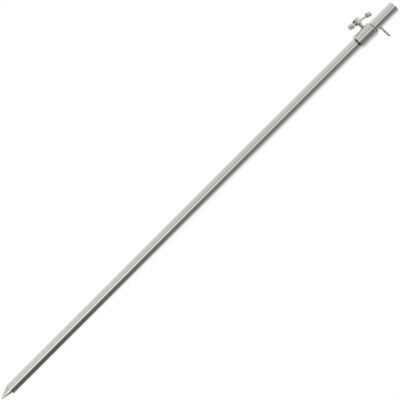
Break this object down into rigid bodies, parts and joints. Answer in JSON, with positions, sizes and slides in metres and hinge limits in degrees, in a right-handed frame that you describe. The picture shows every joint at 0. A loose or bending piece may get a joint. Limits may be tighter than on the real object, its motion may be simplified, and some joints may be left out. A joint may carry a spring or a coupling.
{
  "type": "bank stick",
  "caption": "Telescopic stainless bank stick: spiked outer tube, sliding mast clamped by a cross-barred screw, and a threaded head for a rod rest or bite alarm.",
  "frame": {"origin": "tip of the ground spike, on the stick's axis", "axes": "+Z along the stick from the spike to the head, as it stands in use; the lock screw is on the -X side"},
  "size_m": [0.0463, 0.0257, 0.6915],
  "materials": {
    "tube_steel": "stainless tube, fine polish round the tube",
    "turned_steel": "stainless, turned and lightly polished",
    "nylon": "natural white nylon",
    "black_rubber": "moulded, matt",
    "brass": "turned brass"
  },
  "bodies": {
    "stick": {"outer_tube": "tube_steel", "ground_spike": "turned_steel", "mouth_bush": "nylon", "lock_collar": "turned_steel", "wiper_ring": "black_rubber"},
    "foot": {"foot_bush": "nylon"},
    "mast": {"mast_tube": "tube_steel", "foot_plug": "turned_steel", "head_sleeve": "tube_steel", "threaded_insert": "brass", "hand_pin": "turned_steel"},
    "pad": {"pressure_pad": "brass"},
    "screw": {"lock_screw": "turned_steel"},
    "tommy": {"tommy_bar": "turned_steel", "tommy_knob_upper": "turned_steel", "tommy_knob_lower": "turned_steel"}
  },
  "joints": [
    {"name": "mast_slide", "type": "slide", "parent": "stick", "child": "foot", "axis": [0, 0, 1], "range_m": [0, 0.5]},
    {"name": "mast_turn", "type": "hinge", "parent": "foot", "child": "mast", "pos_m": [0, 0, 0.6609], "axis": [0, 0, 1], "range_deg": [-120, 120]},
    {"name": "screw_advance", "type": "slide", "parent": "stick", "child": "pad", "axis": [-1, 0, 0], "range_m": [0, 0.00121]},
    {"name": "screw_turn", "type": "hinge", "parent": "pad", "child": "screw", "pos_m": [0, 0, 0.6461], "axis": [-1, 0, 0], "range_deg": [0, 540]},
    {"name": "tommy_slide", "type": "slide", "parent": "screw", "child": "tommy", "axis": [0, 0.515, 0.8572], "range_m": [-0.0125, 0.0038]}
  ],
  "couplings": [
    {"joint": "screw_advance", "follows": "screw_turn", "m_per_rad": 0.00012732}
  ]
}
